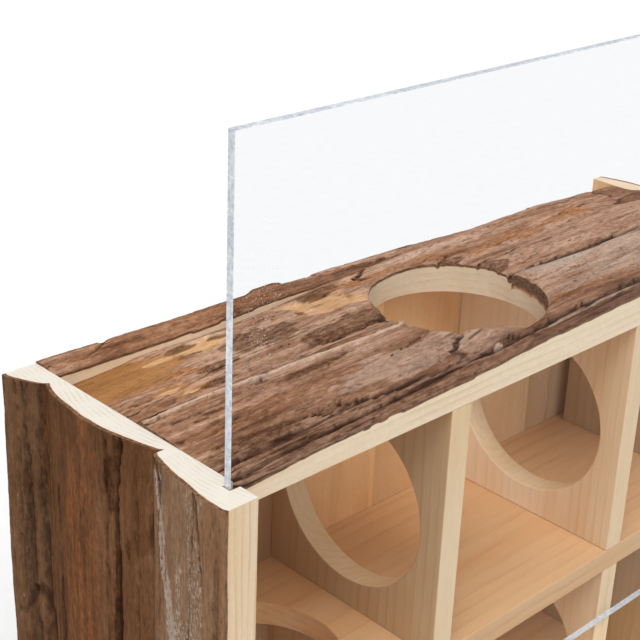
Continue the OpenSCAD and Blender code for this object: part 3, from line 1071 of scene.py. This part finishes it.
def build_dividers(edge_wood):
    """Two dividers on each floor, each with a large round passage."""
    # Painted shade and light: the left dividers get a darker copy of the pine and the right ones a paler
    # copy, paler still towards the rear, for how the light falls in the chambers.
    woods = {
        "left": board_wood("pine_left_divider_painted_shade", (0.56, 0.395, 0.225), (0.46, 0.300, 0.155)),
        "right": board_wood(
            "pine_right_divider_painted_light", (0.78, 0.57, 0.35), (0.66, 0.44, 0.25), lit_side_tint=(0.95, 0.80, 0.60)
        ),
    }
    shelf_low, shelf_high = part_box("shelf")
    middle = (shelf_low.y + shelf_high.y) / 2 + PASSAGE_BEHIND * MM
    seed = 2
    for floor in ("upper", "lower"):
        for side in ("left", "right"):
            node = f"{floor}_{side}_divider"
            low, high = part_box(node)
            centre = Vector(((low.x + high.x) / 2, middle, low.z + PASSAGE_HEIGHT * MM))
            hole = (centre, X, PASSAGE_RADIUS * MM, BOARD_BAR * MM)
            build_board(node, Z, seed, woods[side], edge_wood, hole)
            seed += 1


def build_end_boards(edge_wood):
    """A plain board across the right end of each floor."""
    wood = board_wood("pine_end_board", (0.58, 0.435, 0.265), (0.48, 0.34, 0.195))
    build_board("upper_end_board", Z, 13, wood, edge_wood)
    build_board("lower_end_board", Z, 14, wood, edge_wood)


def build_shelf():
    """The board between the floors, with a way up in the left chamber."""
    wood = board_wood("pine_shelf", (0.72, 0.45, 0.23), (0.62, 0.36, 0.17), 4.2)
    edge = board_wood("shelf_edge", (0.67, 0.43, 0.23), (0.57, 0.34, 0.17), 3.0)
    low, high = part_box("shelf")
    left_chamber = (low.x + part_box("upper_left_divider")[0].x) / 2
    centre = Vector((left_chamber, (low.y + high.y) / 2, low.z))
    build_board("shelf", X, 9, wood, edge, (centre, Z, SHELF_HOLE_RADIUS * MM, BOARD_BAR * MM))


def build_pane():
    piece = new_piece("pane_sheet", *box_shape(*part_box("front_pane")), [pane_face(), pane_edge()])
    bevel(piece, 0.2 * MM, 1)
    for face in piece.data.polygons:
        face.material_index = 0 if abs(face.normal.y) > 0.95 else 1
    finish_piece(piece, PANE, "clear_pane", "front_pane")


def finish_brads():
    """The CAD's brads stay, in steel."""
    metal = steel()
    for name, node in frame["nodes"].items():
        if name.endswith("_brads"):
            node.data.materials.clear()
            node.data.materials.append(metal)


# ---------------------------------------------------------------- stage

def build_camera():
    camera = bpy.data.objects.new("camera", bpy.data.cameras.new("camera"))
    camera.data.lens, camera.data.sensor_width = CAMERA_LENS, 36
    camera.data.clip_start = 0.01
    turn = Matrix.Rotation(math.radians(CAMERA_HEADING), 4, "Z")
    turn = turn @ Matrix.Rotation(math.radians(CAMERA_PITCH), 4, "X")
    turn = turn @ Matrix.Rotation(math.radians(CAMERA_ROLL), 4, "Y") @ Matrix.Rotation(math.pi / 2, 4, "X")
    camera.matrix_world = Matrix.Translation(CAMERA_AT) @ turn
    bpy.context.scene.collection.objects.link(camera)
    bpy.context.scene.camera = camera


def build_floor():
    """White paper under the house, out to beyond what the camera sees."""
    corners = [(x * FLOOR_HALF, y * FLOOR_HALF, 0) for x, y in ((-1, -1), (1, -1), (1, 1), (-1, 1))]
    p = Paint("floor_paper", 0.95, 0.0)
    at = p.node("TexCoord", "Object", {})
    paper = p.colour(p.ramp(p.noise(at, (90, 90, 90)), (0.3, (0.80,) * 3), (0.7, (0.82,) * 3)))
    floor = new_piece("floor", corners, [(0, 1, 2, 3)], [paper])


def build_lights():
    """An even white surround, and two far softboxes high to the left and right of the camera."""
    world = bpy.data.worlds.new("studio")
    world.use_nodes = True
    world.node_tree.nodes["Background"].inputs["Color"].default_value = (1, 1, 1, 1)
    world.node_tree.nodes["Background"].inputs["Strength"].default_value = 0.45
    bpy.context.scene.world = world
    far_softbox("key", (-0.78, -0.42, 1.5), 36, 2.2)
    far_softbox("front", (-0.25, -1.0, 1.35), 40, 0.85)


def far_softbox(name, towards, spread, strength):
    """An even, soft light from one side, as from a wide softbox far away."""
    light = bpy.data.objects.new(name, bpy.data.lights.new(name, "SUN"))
    light.data.angle, light.data.energy = math.radians(spread), strength
    light.rotation_euler = Vector(towards).to_track_quat("Z", "Y").to_euler()
    bpy.context.scene.collection.objects.link(light)


bpy.context.scene.view_settings.view_transform = "Standard"
build_camera()
build_floor()
build_lights()

shared_paints = slab_paints()
build_sides(shared_paints)
build_roof_and_floor(shared_paints)
build_back(shared_paints)

pine_edge = board_wood("pine_edge", (0.79, 0.61, 0.39), (0.70, 0.50, 0.30), 3.0)
build_dividers(pine_edge)
build_end_boards(pine_edge)
build_shelf()
build_pane()
finish_brads()
